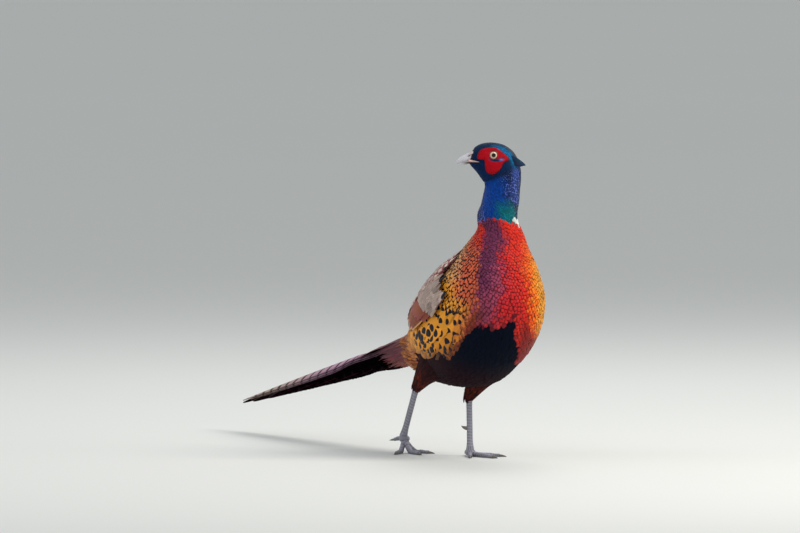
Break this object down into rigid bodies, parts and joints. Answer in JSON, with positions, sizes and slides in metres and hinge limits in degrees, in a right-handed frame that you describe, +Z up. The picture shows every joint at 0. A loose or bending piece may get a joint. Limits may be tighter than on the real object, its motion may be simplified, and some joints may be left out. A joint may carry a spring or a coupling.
{
  "type": "common pheasant cock figure",
  "caption": "Life-size standing cock pheasant with its head turned to its right, long pointed tail trailing behind and one foot forward.",
  "frame": {"origin": "middle of the base of the bounding box, on the floor", "axes": "+Z up, the body faces -Y, its left side is +X and its tail runs back along +Y"},
  "size_m": [0.1552, 0.779, 0.4132],
  "materials": {
    "head_feathers": "glossy dark green and blue feathers",
    "neck_feathers": "glossy royal blue and violet feathers with a partial white collar",
    "body_feathers": "copper, golden and maroon scale feathers with dark edges and a black belly",
    "wing_feathers": "taupe, chestnut and buff barred feathers",
    "rump_feathers": "loose maroon and olive feathers",
    "tail_feathers": "buff brown with dark cross bars",
    "thigh_feathers": "dark brown feathers",
    "bill": "pale horn",
    "eye": "wet, pale iris with a black pupil",
    "wattle": "bulbed crimson bare skin",
    "leg_scales": "blue-grey scales",
    "claw_horn": "dark horn"
  },
  "bodies": {
    "root": {"head": "head_feathers", "neck": "neck_feathers", "torso": "body_feathers", "tail_coverts": "rump_feathers", "tail": "tail_feathers", "bill_upper": "bill", "bill_lower": "bill", "wing_left": "wing_feathers", "eye_left": "eye", "wattle_left": "wattle", "thigh_left": "thigh_feathers", "tarsus_left": "leg_scales", "foot_left": "leg_scales", "spur_left": "claw_horn", "claw_left_inner": "claw_horn", "claw_left_middle": "claw_horn", "claw_left_outer": "claw_horn", "claw_left_hallux": "claw_horn", "wing_right": "wing_feathers", "eye_right": "eye", "wattle_right": "wattle", "thigh_right": "thigh_feathers", "tarsus_right": "leg_scales", "foot_right": "leg_scales", "spur_right": "claw_horn", "claw_right_inner": "claw_horn", "claw_right_middle": "claw_horn", "claw_right_outer": "claw_horn", "claw_right_hallux": "claw_horn"}
  },
  "joints": []
}
